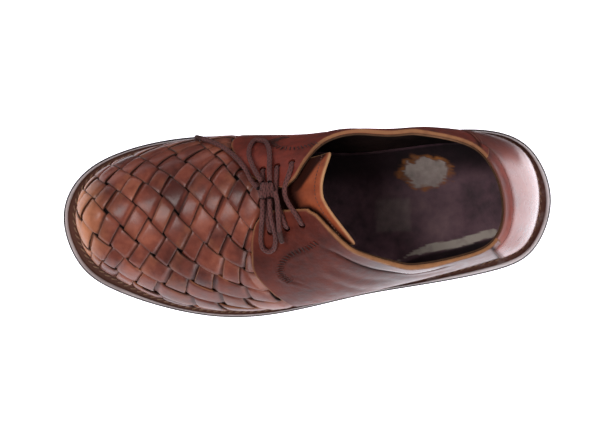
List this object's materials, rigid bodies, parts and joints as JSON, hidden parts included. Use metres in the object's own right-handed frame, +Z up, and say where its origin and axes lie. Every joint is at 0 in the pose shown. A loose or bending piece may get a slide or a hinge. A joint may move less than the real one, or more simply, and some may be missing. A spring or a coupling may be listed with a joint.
{
  "type": "leather shoe",
  "caption": "Low leather lace-up shoe for the left foot, with a woven vamp, plain quarter flaps over a tongue, a tied bow and a pale welt on a low-heeled sole.",
  "frame": {"origin": "on the floor, under the middle of the shoe's length and width", "axes": "+X from heel to toe, +Y to the outer (lateral) side of the left foot, +Z up"},
  "size_m": [0.2899, 0.1102, 0.0975],
  "materials": {
    "sole_rubber": "matt dark brown rubber",
    "welt_leather": "pale waxed leather edge",
    "insole_leather": "worn dark brown leather",
    "upper_leather": "polished red-brown leather with soft gloss",
    "tongue_leather": "tan leather, satin",
    "lace_cord": "waxed brown round cord"
  },
  "bodies": {
    "root": {"outsole": "sole_rubber", "welt": "welt_leather", "insole": "insole_leather", "upper": "upper_leather", "tongue": "tongue_leather", "lace_bar_1": "lace_cord", "lace_bar_2": "lace_cord", "lace_bar_3": "lace_cord", "lace_knot": "lace_cord", "lace_loop_medial": "lace_cord", "lace_loop_lateral": "lace_cord", "lace_end_medial": "lace_cord", "lace_end_lateral": "lace_cord"}
  },
  "joints": []
}
